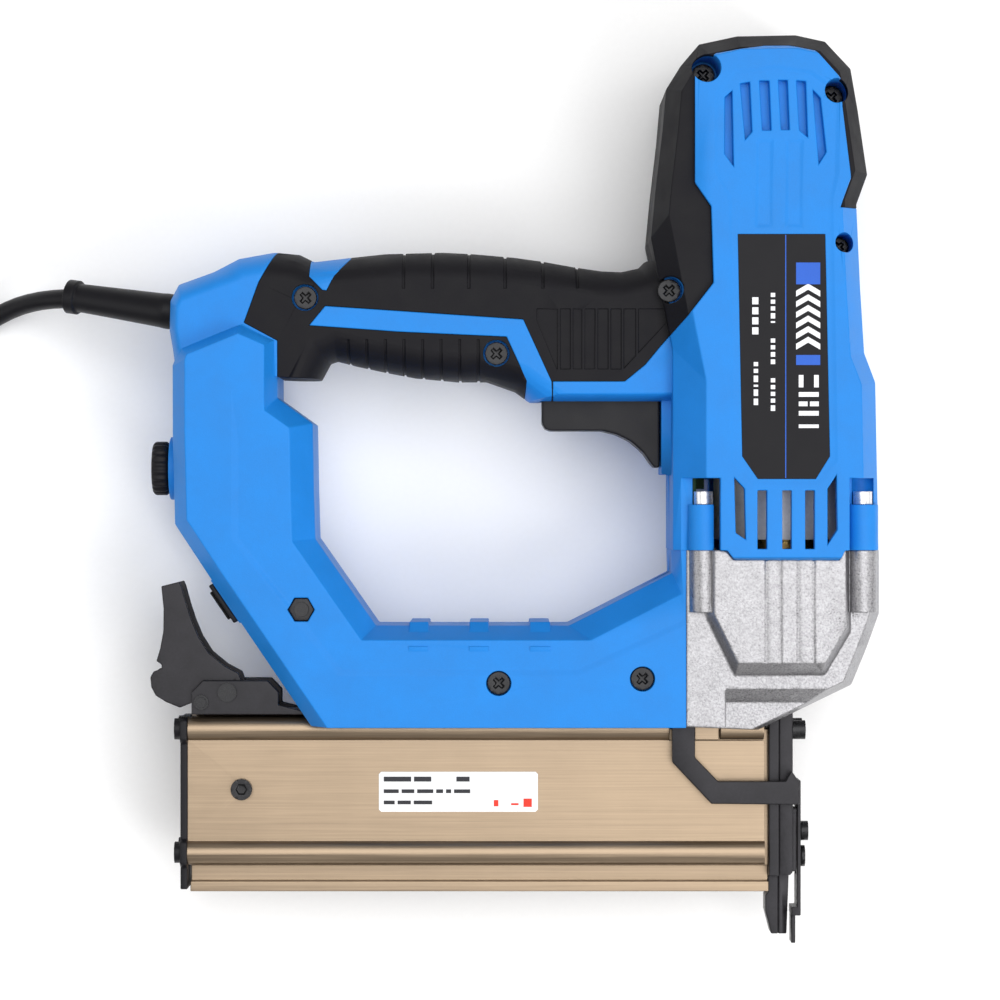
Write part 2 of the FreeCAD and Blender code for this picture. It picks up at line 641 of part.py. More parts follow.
keep(ring("Guide", "Sizes.guideOuter", "Sizes.guideBore", -31, "Sizes.guideLength", "Tube"), "guide_tube")
spool = ring("Spool", "Sizes.bobbinOuter", 12.3, -15, "Sizes.coilLength", "Tube")
spoolFoot = ring("SpoolFoot", "Sizes.flangeRadius", 12.3, -15, "Sizes.flangeDepth", "Tube")
spoolTop = ring("SpoolTop", "Sizes.flangeRadius", 12.3, 71, "Sizes.flangeDepth", "Tube")
keep(joined("Bobbin", [spool, spoolFoot, spoolTop]), "coil_bobbin")
keep(ring("Winding", "Sizes.coilRadius", "Sizes.bobbinOuter + 0.05", -13, "Sizes.coilLength - 4", "Tube"),
     "coil_winding")
yokeWall = ring("YokeWall", "Sizes.yokeRadius", "Sizes.yokeInner", -17.5, 93, "Tube")
yokeFoot = ring("YokeFoot", "Sizes.yokeRadius", 12.25, -17.5, "Sizes.yokePlate", "Tube")
yokeTop = ring("YokeTop", "Sizes.yokeRadius", 12.25, 73, "Sizes.yokePlate", "Tube")
keep(joined("Yoke", [yokeWall, yokeFoot, yokeTop]), "solenoid_yoke")
keep(rod("TopStop", 11.5, "Sizes.stopDepth", place(axis, 105.4, 0, (0, 1, 0))), "top_stop")
keep(ring("Buffer", "Sizes.plungerRadius", "Sizes.bufferInner", -45, "Sizes.bufferDepth", "Ring"), "buffer_pad")
keep(rod("Plunger", "Sizes.plungerRadius", "Sizes.plungerLength", place(axis, sizes["plungerFoot"], 0, (0, 1, 0))),
     "plunger")
bladeFoot = sizes["plungerFoot"] - sizes["bladeLength"]
blade = doc.addObject("Part::Box", "Blade")
bind(blade, Length="Sizes.bladeThick", Width="Sizes.bladeLength", Height="Sizes.bladeWide")
blade.Placement = place(axis - sizes["bladeThick"] / 2, bladeFoot, -sizes["bladeWide"] / 2)
keep(blade, "driver_blade")
shaped("return_spring", spring(5.6, 1.5, 7.2, 84.8, (axis, -44.9, 0), (0, 1, 0)))

# ---- electrics -----------------------------------------------------------------

board = block("Board", (60.6, -12, -21), (62.2, 84, 21))
chips = [
    block("Triac", (62.2, 50, -8), (66.2, 66, 2)),
    block("Timer", (62.2, 24, 4), (64.2, 32, 12)),
    block("Fuse", (62.2, 0, -14), (66.7, 22, -9)),
    block("Terminal", (62.2, 70, -16), (67.2, 81, 16)),
]
keep(group("ControlBoard", [board] + chips), "control_board")
keep(rod("Capacitor", "Sizes.capacitorRadius", "Sizes.capacitorLength", place(64, 127, 0, (1, 0, 0))), "capacitor")
keep(block("TriggerSwitch", (15, 45, -8), (43, 60, 8)), "trigger_switch")
keep(block("NoseSwitch", (49.8, -62, 6), (53.4, -51.5, 17)), "nose_switch")
dialBody = block("DialBody", (-112.4, -0.3, -7.5), (-103, 14.7, 7.5))
dialHole = rod("DialHole", "Sizes.knobShaft + 0.5", 6, place(-108, 7.2, 0, (-1, 0, 0)))
keep(less("DialPot", dialBody, dialHole), "dial_potentiometer")

switchShape = boxed((-6.6, -9.7, -17), (6.6, 9.7, 1)).fuse(boxed((-7.8, -11, 0.8), (7.8, 11, 2.6)))
switchShape = switchShape.cut(boxed((-6, -9.4, -5.5), (6, 9.4, 5)).fuse(tube(1.25, 14, (-7, 0, -1), (1, 0, 0))))
shaped("power_switch_body", onRocker(switchShape))
rockerProfile = [(-8.6, 2.9), (-5.5, -2.2), (0, -4.2), (5.5, -2.2), (8.6, 2.9), (0, 1.7)]
rockerShape = Part.Face(Part.makePolygon([
    Vector(-5.7, y, z) for y, z in rockerProfile + rockerProfile[:1]
])).extrude(Vector(11.4, 0, 0))
rockerShape.rotate(Vector(0, 0, -1), Vector(1, 0, 0), 7)
rockerShape = rockerShape.fuse(tube(1.2, 12.6, (-6.3, 0, -1), (1, 0, 0)))
shaped("power_rocker", onRocker(rockerShape))

# ---- controls ------------------------------------------------------------------

triggerOutline = [
    (9.3, 34), (9.3, 22.7), (10.4, 20.9), (12.2, 20.2), (30, 20.2), (35, 19), (38, 17.6), (40.2, 16.4),
    (43, 14), (45, 12), (47, 9.1), (48.4, 7.5), (50.1, 7.4), (50.1, 34),
]
keep(outlineBody("Trigger", triggerOutline, "Sizes.triggerHalf * 2", place(0, 0, -sizes["triggerHalf"])),
     "trigger")
shaped("trigger_spring", spring(2.6, 0.8, 2.7, 10.9, (29, 34.05, 0), (0, 1, 0)))

knobGrip = turnedBody("KnobGrip", [(0, 0), (8.6, 0), (9.6, 0.8), (9.6, 4.6), (8.8, 5.7), (0, 5.7)],
                      Placement(Vector(-120.8, 7.2, mid), Rotation(Vector(0, 1, 0), Vector(-1, 0, 0))))
knobShaft = rod("KnobShaft", "Sizes.knobShaft", 12.2, place(-108.6, 7.2, 0, (-1, 0, 0)))
keep(joined("ForceKnob", [knobGrip, knobShaft]), "force_knob")

# ---- nose ----------------------------------------------------------------------

frontUpper = outlineBody("FrontUpper", [(91.7, -66), (91.7, -134), (95.4, -134), (96.4, -133), (96.4, -66)],
                         20, place(0, 0, -10))
frontLower = outlineBody("FrontLower", [(91.7, -133), (91.7, -155), (94.6, -155), (95.4, -133)], 10, place(0, 0, -5))
spacer = block("Spacer", (96.2, -133, -8), (97.8, -111, 8))
groove = block("Groove", (91, -157, -1.65), (93, -60, 1.65))
frontHoles = [rod("FrontHole%d" % n, "Sizes.capBoltShank", 12, place(87, -83.8, z, (1, 0, 0)))
              for n, z in enumerate((6.5, -6.5))]
frontHoles += [rod("FootHole%d" % n, 1.8, 4, place(94.2, y, 0, (1, 0, 0))) for n, y in enumerate((-119.5, -128.3))]
keep(less("NoseFront", joined("FrontWhole", [frontUpper, frontLower, spacer]), groove, *frontHoles),
     "nose_plate_front")
rearOutline = [(88.1, -66), (88.1, -140.5), (87.2, -141.5), (87.2, -147), (89.2, -155), (91.7, -155), (91.7, -66)]
rearPlate = outlineBody("RearPlate", rearOutline, 20, place(0, 0, -10))
nailGate = block("NailGate", (86, -141, -0.8), (93, -89.5, 0.8))
rearTrims = [block("RearTrim%d" % n, (80, -160, low), (91.71, -134.5, high))
             for n, (low, high) in enumerate(((5, 12), (-12, -5)))]
rearHoles = [rod("RearHole%d" % n, "Sizes.capBoltShank", 12, place(87, -83.8, z, (1, 0, 0)))
             for n, z in enumerate((6.5, -6.5))]
keep(less("NoseRear", rearPlate, nailGate, *(rearTrims + rearHoles)), "nose_plate_rear")
noseBolts = [capBolt("Nose%d" % n, place(96.4, -83.8, z, (1, 0, 0)), 8) for n, z in enumerate((6.5, -6.5))]
keep(group("NoseBolts", noseBolts), "nose_bolts")

armOutline = [
    (54.3, -94.5), (67.8, -108.9), (98.2, -109.2), (98.2, -101.3), (95.5, -97.4), (93.5, -101.1), (70.1, -101.1),
    (62.2, -92.9), (62.2, -79.5), (57.6, -79.5), (57.6, -66), (54.6, -66), (54.6, -79.5), (54.3, -79.5),
]
armRight = outlineBody("ArmRight", armOutline, "Sizes.plateThick", place(0, 0, 13))
armLeft = outlineBody("ArmLeft", [(80, -109.2), (98.2, -109.2), (98.2, -101.3), (95.5, -97.4), (93.5, -101.1), (80, -101.1)],
                      "Sizes.plateThick", place(0, 0, -15))
armBridge = block("ArmBridge", (96.9, -109.2, -14), (98.2, -101.3, 14))
keep(joined("SafetyArm", [armRight, armLeft, armBridge]), "safety_arm")
footPlate = block("FootPlate", (98.2, -147, -6), (99.5, -101.5, 6))
footStep = block("FootStep", (96.3, -148.6, -6), (99.5, -145.6, 6))
footTongue = block("FootTongue", (96.3, -158.4, -4), (97.8, -148.6, 4))
footSlot = block("FootSlot", (97, -134.7, -2.2), (101, -117, 2.2))
keep(less("ContactFoot", joined("FootWhole", [footPlate, footStep, footTongue]), footSlot), "contact_foot")
footScrews = []
for n, (y, head, depth) in enumerate(((-119.5, 3.4, 2.5), (-128.3, 3.7, 1.4))):
    headRod = rod("FootHead%d" % n, head, depth, place(99.9, y, 0, (1, 0, 0)))
    stemRod = rod("FootStem%d" % n, 1.8, 5.5, place(94.4, y, 0, (1, 0, 0)))
    socket = doc.addObject("Part::Prism", "FootSocket%d" % n)
    socket.Polygon = 6
    socket.Circumradius = 1.7
    socket.Height = 3
    socket.Placement = place(99.9 + depth - 1, y, 0, (1, 0, 0))
    footScrews.append(less("FootScrew%d" % n, joined("FootScrewWhole%d" % n, [headRod, stemRod]), socket))
keep(group("FootScrews", footScrews), "contact_foot_screws")
shaped("safety_spring", spring(2.0, 0.7, 3.2, 20.4, (56.0, -65.8, 14), (0, 1, 0)))

# ---- magazine ------------------------------------------------------------------

def alongX(name, points, start, length):
    """Extrusion whose profile is given as (y, z) and runs towards +X."""
    turn = Rotation(Vector(0, 1, 0), Vector(0, 0, 1), Vector(1, 0, 0), "ZXY")
    return outlineBody(name, points, length, Placement(Vector(start, 0, mid), turn))


trackProfile = [
    (-83.5, -6.5), (-83.5, 6.5), (-131, 6.5), (-131, 4.5), (-136.4, 4.5), (-136.4, 8), (-139.9, 8),
    (-139.9, -8), (-136.4, -8), (-136.4, -4.5), (-131, -4.5), (-131, -6.5),
]
track = alongX("TrackRail", trackProfile, -112.9, 201)
trackTop = block("TrackTop", (62.2, -87, -11.4), (70.6, -79.7, 11.4))
trackWeb = block("TrackWeb", (62.2, -84, -8), (86.4, -80.8, 8))
trackBeads = [rod("TrackBead%d" % n, 3.6, 15.2, place(71.2, -83.4, z, (1, 0, 0))) for n, z in enumerate((8, -8))]
nailRoom = block("NailRoom", (-114, -138.8, -0.75), (90, -89.4, 0.75))
springRoom = rod("SpringRoom", 3, 204, place(-114, -96, 0, (1, 0, 0)))
keep(less("MagazineTrack", joined("TrackWhole", [track, trackTop, trackWeb] + trackBeads), nailRoom, springRoom),
     "magazine_track")

panels = [block("Panel%d" % n, (-113.7, -124, low), (86.6, -85, high))
          for n, (low, high) in enumerate(((7.5, 9.5), (-9.5, -7.5)))]
beads = []
for n, z in enumerate((8, -8)):
    beads.append(rod("UpperBead%d" % n, "Sizes.beadRadius", 167.2, place(-113.7, -83.4, z, (1, 0, 0))))
    beads.append(rod("LowerBead%d" % n, "Sizes.beadRadius + 0.2", 200.3, place(-113.7, -126.3, z, (1, 0, 0))))
coverWeb = block("CoverWeb", (-113.7, -82.7, -8), (53.5, -80.6, 8))
coverRoom = block("CoverRoom", (-120, -135, -7.3), (95, -82.8, 7.3))
coverEnd = block("CoverEnd", (53.5, -87.4, -20), (95, -70, 20))
coverHole = rod("CoverHole", 2.0, 6, place(-94.9, -104.2, 5))
keep(less("MagazineCover", joined("CoverWhole", panels + beads + [coverWeb]), coverRoom, coverEnd, coverHole),
     "magazine_cover")

capProfile = [
    (-79.2, 11), (-79.2, -11), (-80.6, -12.4), (-87, -12.4), (-88.6, -10), (-121.5, -10), (-122.6, -12.6),
    (-130, -12.6), (-131.5, -10), (-139, -10), (-139, 10), (-131.5, 10), (-130, 12.6), (-122.6, 12.6),
    (-121.5, 10), (-88.6, 10), (-87, 12.4), (-80.6, 12.4),
]
capPlate = alongX("CapPlate", capProfile, -116.2, "Sizes.capThick")
capLobes = [rod("CapLobe%d%d" % (n, k), 3.7, 2.2, place(-118.3, y, z, (1, 0, 0)))
            for n, y in enumerate((-83.4, -126.3)) for k, z in enumerate((8, -8))]
keep(joined("MagazineCap", [capPlate] + capLobes), "magazine_end_cap")

knobHead = rod("MagazineHead", 3.7, 2.8, place(-94.9, -104.2, 9.5))
knobStem = rod("MagazineStem", 2.0, 2.1, place(-94.9, -104.2, 7.4))
knobHex = doc.addObject("Part::Prism", "MagazineHex")
knobHex.Polygon = 6
knobHex.Circumradius = 1.9
knobHex.Height = 3
knobHex.Placement = place(-94.9, -104.2, 10.8)
keep(less("MagazineBolt", joined("MagazineBoltWhole", [knobHead, knobStem]), knobHex), "magazine_screw")
plateOutline = [(-46.5, -112.1), (7.1, -112.1), (7.9, -111.3), (7.9, -99), (7.1, -98.2), (-46.5, -98.2),
                (-47.3, -99), (-47.3, -111.3)]
keep(outlineBody("MagazineLabel", plateOutline, 0.2, place(0, 0, 9.5)), "magazine_label")

pusherPlate = block("PusherPlate", (70, -138.4, -0.6), (86, -89.8, 0.6))
pusherBarrel = rod("PusherBarrel", 2.6, 16, place(70, -96, 0, (1, 0, 0)))
keep(joined("PusherWhole", [pusherPlate, pusherBarrel]), "pusher")
shaped("pusher_spring", spring(2.0, 0.6, 9.0, 182, (-112.4, -96, 0), (1, 0, 0)))

# ---- magazine latch --------------------------------------------------------------

leverOutline = [
    (-116.6, -32.2), (-122.9, -33.8), (-122.1, -41.6), (-122.2, -49.5), (-123.3, -55.5), (-124.6, -59.8),
    (-122.8, -61), (-122.8, -62.4), (-125.6, -63.4), (-126.7, -65.4), (-126.4, -68.8), (-124.8, -71.8),
    (-121.3, -74), (-116.4, -76), (-112.3, -74.3), (-98, -75.6), (-95, -73), (-94.6, -68), (-96, -64.1),
    (-101, -61.4), (-106.4, -57), (-109.9, -51.5), (-112.4, -45.5), (-114.3, -39.6), (-115.8, -34.1),
]
pivot = (-99.8, -70.6)
leverSides = [outlineBody("LeverSide%d" % n, leverOutline, 1.6, place(0, 0, z),
                          circles=[(pivot[0], pivot[1], 2.56)])
              for n, z in enumerate((7.9, -9.5))]
webOutline = [(-122.9, -33.8), (-122.1, -41.6), (-122.2, -49.5), (-123.3, -55.5), (-121.9, -56), (-120.8, -49.8),
              (-120.7, -41.8), (-121.5, -34.2)]
leverWeb = outlineBody("LeverWeb", webOutline, 18, place(0, 0, -9))
keep(joined("LatchLever", leverSides + [leverWeb]), "latch_lever")

bracketOutline = [
    (-112.2, -78.2), (-73.6, -78.2), (-73.6, -77), (-82, -75), (-82, -70.3), (-85.8, -66.4), (-108.4, -66.4),
    (-112.2, -70.3),
]
bracketSides = [outlineBody("BracketSide%d" % n, bracketOutline, 1.6, place(0, 0, z))
                for n, z in enumerate((10, -11.6))]
bracketWeb = block("BracketWeb", (-112.2, -78.2, -11), (-62, -76.9, 11))
bracketHoles = [rod("BracketHole%d" % n, radius, 30, place(x, y, -15))
                for n, (x, y, radius) in enumerate(((pivot[0], pivot[1], 2.5), (-108.8, -74, 1.8)))]
keep(less("LatchBracket", joined("BracketWhole", bracketSides + [bracketWeb]), *bracketHoles), "latch_bracket")
pivotPin = rod("PivotPin", 2.5, 24.4, place(pivot[0], pivot[1], -12.2))
pivotHead = rod("PivotHead", 3.3, 0.9, place(pivot[0], pivot[1], 11.6))
stopPin = rod("StopPin", 1.8, 3.4, place(-108.8, -74, 9.9))
stopHead = rod("StopHead", 2.6, 0.9, place(-108.8, -74, 11.6))
keep(group("LatchPins", [joined("Pivot", [pivotPin, pivotHead]), joined("Stop", [stopPin, stopHead])]), "latch_pins")
shaped("latch_spring", spring(3.4, 0.9, 1.7, 14.6, (pivot[0], pivot[1], -7.3), (0, 0, 1)))

# ---- cord, coil and plug -----------------------------------------------------------

table = -mid
coilCentre = (-262, 0)
coilBase = table + 1.2
cordRoute = [(-98, 58.4, 0), (-128, 63.3, 0), (-160, 68.6, -12), (-186, 64, table + 3.5), (-211, 42, table + 3.5),
             (-216.8, 0, coilBase + 3.5)]
tailRoute = [(-216.8, 2, coilBase + 17.5), (-216.9, -28, coilBase + 15), (-217, -53, table + 11)]
coilProfile = [(29.5, 0), (46.5, 0), (48.5, 2.5), (48.5, 18.5), (46.5, 21), (29.5, 21), (27.5, 18.5), (27.5, 2.5)]
coil = turnedBody("CordCoil", coilProfile, Placement(Vector(coilCentre[0], coilCentre[1], 1.2),
                                                     Rotation(Vector(1, 0, 0), 90)))
keep(coil, "cord_coil")
doc.recompute()
coilShape = coil.Shape.copy()
coilShape.translate(Vector(0, 0, -mid))
mainCord = cableAlong(cordRoute, sizes["cordRadius"])
tailCord = cableAlong(tailRoute, sizes["cordRadius"])
plugOutline = [(-230, -90), (-204, -90), (-204.7, -72), (-209.5, -60), (-212, -52), (-222, -52), (-224.5, -60),
               (-229.3, -72)]
plugLevels = [(table, 1), (table + 3, 0), (table + 19, 0), (table + 22, 1)]
plugShape = stack(plugOutline, plugLevels, 1.5)
shaped("plug", plugShape)
shaped("power_cord", Part.makeCompound([mainCord.cut(coilShape), tailCord.cut(coilShape.fuse(plugShape))]))

sleeveStations = [(0, 6.2), (0.12, 6.2), (0.16, 6.0), (0.9, 5.0), (0.91, 6.0), (1.0, 6.0)]
sleevePath = [Vector(-117, 61.5, 0), Vector(-124, 62.6, -0.3), Vector(-138, 64.9, -4), Vector(-157.5, 68.1, -11.3)]
sleeveCurve = Part.BSplineCurve()
sleeveCurve.interpolate(sleevePath)
sections = []
for share, radius in sleeveStations:
    parameter = sleeveCurve.FirstParameter + share * (sleeveCurve.LastParameter - sleeveCurve.FirstParameter)
    heading = sleeveCurve.tangent(parameter)[0]
    sections.append(Part.Wire(Part.makeCircle(radius, sleeveCurve.value(parameter), heading)))
sleeveShape = Part.makeLoft(sections, True, True)
shaped("cord_sleeve", sleeveShape.cut(mainCord))
clampPlaces = (51.6, 67.2)
clampHoles = [rod("ClampHole%d" % n, 1.5, 8, place(-104, y, 0)) for n, y in enumerate(clampPlaces)]
keep(less("CordClamp", block("ClampBar", (-107, 49.5, 3.8), (-101, 69.3, 6.8)), *clampHoles), "cord_clamp")
clampScrews = [screw("Clamp%d" % n, place(-104, y, 6.8), 0.7, 2, 9) for n, y in enumerate(clampPlaces)]
keep(group("ClampScrews", clampScrews), "cord_clamp_screws")

tieBox = boxed((-266, -50, table), (-258, -26, table + 23.4))
shaped("cord_tie", tieBox.cut(coilShape))

pins = [rod("PlugPin%d" % n, "Sizes.pinRadius", "Sizes.pinLength", place(-217 + offset, -90, table + 11, (0, -1, 0)))
        for n, offset in enumerate((-9.5, 9.5))]
keep(group("PlugPins", pins), "plug_pins")

# ---- checks and export ----------------------------------------------------------------

doc.recompute()
os.makedirs("parts", exist_ok=True)
for item in doc.Objects:
    if "Invalid" in item.State or "Error" in item.State:
        raise RuntimeError("%s did not build: %s" % (item.Label, item.State))
for node in nodes:
    shape = node.Shape
    if shape.isNull() or not shape.isValid() or shape.Volume <= 0:
        raise RuntimeError("%s has no sound solid" % node.Label)
    shape.exportStep("parts/%s.step" % node.Label)
    low, high = shape.BoundBox, shape.BoundBox
    print("%-22s %2d solids %9.0f mm3  x %.1f..%.1f y %.1f..%.1f z %.1f..%.1f" % (
        node.Label, len(shape.Solids), shape.Volume, low.XMin, high.XMax, low.YMin, high.YMax, low.ZMin, high.ZMax))
print(len(nodes), "sub-parts written")
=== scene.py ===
# A mains brad nailer lying on a white table, seen from straight above.
import bmesh
import bpy
import json
import math
import numpy as np
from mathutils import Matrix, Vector


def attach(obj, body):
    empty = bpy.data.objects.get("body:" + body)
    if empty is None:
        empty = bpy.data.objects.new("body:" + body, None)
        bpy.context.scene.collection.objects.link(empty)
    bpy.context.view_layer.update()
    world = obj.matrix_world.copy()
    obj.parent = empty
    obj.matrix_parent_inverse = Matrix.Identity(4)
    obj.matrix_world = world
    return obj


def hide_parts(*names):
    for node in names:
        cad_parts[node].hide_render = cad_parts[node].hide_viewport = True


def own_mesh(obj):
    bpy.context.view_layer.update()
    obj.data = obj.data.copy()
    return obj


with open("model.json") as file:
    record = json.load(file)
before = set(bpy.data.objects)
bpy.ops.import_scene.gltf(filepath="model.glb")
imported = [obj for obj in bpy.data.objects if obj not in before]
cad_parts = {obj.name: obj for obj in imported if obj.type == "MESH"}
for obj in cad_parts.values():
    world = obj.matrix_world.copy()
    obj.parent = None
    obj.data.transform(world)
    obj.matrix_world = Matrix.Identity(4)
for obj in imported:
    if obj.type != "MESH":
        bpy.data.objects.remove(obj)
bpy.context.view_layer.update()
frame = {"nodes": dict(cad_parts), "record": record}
print("frame loaded")

mm = 0.001
midHeight = 36  # mm, the parting plane of the tool above the table
noiseEnds = (0.3, 0.7)  # nearly all of a noise's values lie between these
speckEnds = (0.35, 0.65)  # closer ends, for a crisper speck
speckShare = 0.7  # how strongly the speck darkens a moulded colour
sharpTurn = 40  # degrees, where the edges of the new round pieces stay sharp
straight = {"across": (1, 0, 0), "along": (0, 1, 0)}  # directions used by the springs

# The camera looks straight down, with +Y up in the picture.
cameraSetting = {"place": (-0.00525, -0.00385, 1.236), "lens": 123.43, "sensor": 36.0, "reach": 20}

lensData = bpy.data.cameras.new("tableCamera")
lensData.lens = cameraSetting["lens"]
lensData.sensor_width = cameraSetting["sensor"]
lensData.clip_end = cameraSetting["reach"]
camera = bpy.data.objects.new("tableCamera", lensData)
camera.location = cameraSetting["place"]
bpy.context.scene.collection.objects.link(camera)
bpy.context.scene.camera = camera


def newFinish(name, roughness, metallic=0.0):
    # a Principled material, with the parts that the other helpers need
    finish = bpy.data.materials.new(name)
    finish.use_nodes = True
    tree = finish.node_tree
    shader = tree.nodes["Principled BSDF"]
    shader.inputs["Roughness"].default_value = roughness
    shader.inputs["Metallic"].default_value = metallic
    return finish, tree.nodes, tree.links, shader


def grainCoords(nodes, links, stretch=(1, 1, 1)):
    # object coordinates scaled unevenly, so grain can be drawn out along an axis
    coords = nodes.new("ShaderNodeTexCoord")
    mapping = nodes.new("ShaderNodeMapping")
    mapping.inputs["Scale"].default_value = stretch
    links.new(coords.outputs["Object"], mapping.inputs["Vector"])
    return mapping.outputs["Vector"]


def grainNoise(nodes, links, coords, scale, detail=3.0, rough=0.6):
    noise = nodes.new("ShaderNodeTexNoise")
    noise.inputs["Scale"].default_value = scale
    noise.inputs["Detail"].default_value = detail
    noise.inputs["Roughness"].default_value = rough
    links.new(coords, noise.inputs["Vector"])
    return noise.outputs["Fac"]


def ramp(nodes, links, factor, first, last, ends=noiseEnds):
    # from one colour to another between two values of a factor
    mix = nodes.new("ShaderNodeValToRGB")
    for element, position, colour in zip(mix.color_ramp.elements, ends, (first, last)):
        element.position = position
        element.color = (*colour, 1)
    links.new(factor, mix.inputs["Fac"])
    return mix.outputs["Color"]


def multiplied(nodes, links, first, second, factor):
    # two colours multiplied; a colour mix has its colours at inputs 6 and 7 and its result at output 2
    mix = nodes.new("ShaderNodeMix")
    mix.data_type = "RGBA"
    mix.blend_type = "MULTIPLY"
    mix.inputs["Factor"].default_value = factor
    links.new(first, mix.inputs[6])
    links.new(second, mix.inputs[7])
    return mix.outputs[2]


def unevenGloss(nodes, links, shader, factor, look):
    # roughness carried by a noise from look - spread to look + spread
    scaled = nodes.new("ShaderNodeMapRange")
    scaled.inputs["From Min"].default_value = noiseEnds[0]
    scaled.inputs["From Max"].default_value = noiseEnds[1]
    scaled.inputs["To Min"].default_value = look["roughness"] - look["glossSpread"]
    scaled.inputs["To Max"].default_value = look["roughness"] + look["glossSpread"]
    links.new(factor, scaled.inputs["Value"])
    links.new(scaled.outputs["Result"], shader.inputs["Roughness"])


def raised(nodes, links, shader, height, look):
    # a bump of a real depth, over edges softened by a radius
    soft = nodes.new("ShaderNodeBevel")
    soft.samples = 4
    soft.inputs["Radius"].default_value = look["edge"] * mm
    bump = nodes.new("ShaderNodeBump")
    bump.inputs["Distance"].default_value = look["grainDepth"] * mm
    links.new(soft.outputs["Normal"], bump.inputs["Normal"])
    links.new(height, bump.inputs["Height"])
    links.new(bump.outputs["Normal"], shader.inputs["Normal"])


def tinted(colour, share):
    return tuple(channel * share for channel in colour)


def mouldedFinish(name, colour, look):
    # moulded plastic or rubber: cloudy tone, fine spark-eroded grain, uneven gloss
    finish, nodes, links, shader = newFinish(name, look["roughness"])
    coords = grainCoords(nodes, links)
    cloud = grainNoise(nodes, links, coords, look["cloudScale"], detail=4)
    grain = grainNoise(nodes, links, coords, look["grainScale"], detail=2)
    low, high = look["tone"]
    tone = ramp(nodes, links, cloud, tinted(colour, low), tinted(colour, high))
    speck = ramp(nodes, links, grain, (low, low, low), (1, 1, 1), speckEnds)
    links.new(multiplied(nodes, links, tone, speck, speckShare), shader.inputs["Base Color"])
    unevenGloss(nodes, links, shader, cloud, look)
    shader.inputs["Specular IOR Level"].default_value = look["specular"]
    raised(nodes, links, shader, grain, look)
    return finish


def grainedMetal(name, colour, look):
    # cast, brushed or plated metal: tone broken up by grain, with an uneven gloss
    finish, nodes, links, shader = newFinish(name, look["roughness"], look["metallic"])
    coords = grainCoords(nodes, links, look.get("stretch", (1, 1, 1)))
    grain = grainNoise(nodes, links, coords, look["grainScale"], look.get("detail", 3))
    cloud = grainNoise(nodes, links, grainCoords(nodes, links), look["cloudScale"], detail=4)
    low, high = look["tone"]
    tone = ramp(nodes, links, grain, tinted(colour, low), tinted(colour, high))
    shade = ramp(nodes, links, cloud, (look["cloudLow"],) * 3, (1, 1, 1))
    links.new(multiplied(nodes, links, tone, shade, 1.0), shader.inputs["Base Color"])
    unevenGloss(nodes, links, shader, grain, look)
    raised(nodes, links, shader, grain, look)
    return finish


# Looks: edge is the softening radius and grainDepth the bump, both in mm; tone is the range of a
# colour's share, and the noise scales are per metre.
shellLook = {"edge": 0.3, "roughness": 0.46, "glossSpread": 0.05, "specular": 0.24,
             "cloudScale": 60, "tone": (0.93, 1.04), "grainScale": 2600, "grainDepth": 0.03}
gripLook = {"edge": 0.3, "roughness": 0.58, "glossSpread": 0.07, "specular": 0.17,
            "cloudScale": 90, "tone": (0.82, 1.18), "grainScale": 2200, "grainDepth": 0.04}
plasticLook = {"edge": 0.9, "roughness": 0.42, "glossSpread": 0.06, "specular": 0.22,
               "cloudScale": 80, "tone": (0.85, 1.15), "grainScale": 2400, "grainDepth": 0.03}
filmLook = {"edge": 0.1, "roughness": 0.34, "glossSpread": 0.04, "specular": 0.14,
            "cloudScale": 120, "tone": (0.94, 1.06), "grainScale": 1800, "grainDepth": 0.004}
castLook = {"edge": 0.7, "roughness": 0.36, "glossSpread": 0.10, "metallic": 0.95,
            "cloudScale": 220, "cloudLow": 0.86, "tone": (0.60, 1.28), "grainScale": 1500,
            "grainDepth": 0.10}
brushedLook = {"edge": 0.3, "roughness": 0.36, "glossSpread": 0.08, "metallic": 0.92,
               "cloudScale": 45, "cloudLow": 0.93, "tone": (0.80, 1.13), "grainScale": 1500,
               "grainDepth": 0.010, "stretch": (0.014, 1, 1), "detail": 5}
oxideLook = {"edge": 0.4, "roughness": 0.40, "glossSpread": 0.09, "metallic": 0.55,
             "cloudScale": 130, "cloudLow": 0.72, "tone": (0.75, 1.25), "grainScale": 900,
             "grainDepth": 0.012}
platedLook = {"edge": 0.4, "roughness": 0.30, "glossSpread": 0.06, "metallic": 0.85,
              "cloudScale": 300, "cloudLow": 0.92, "tone": (0.92, 1.06), "grainScale": 700,
              "grainDepth": 0.004}
screwLook = {**oxideLook, "roughness": 0.30, "edge": 0.12}
yokeLook = {**platedLook, "metallic": 0.2, "roughness": 0.4}
windingLook = {**platedLook, "stretch": (1, 6, 1)}

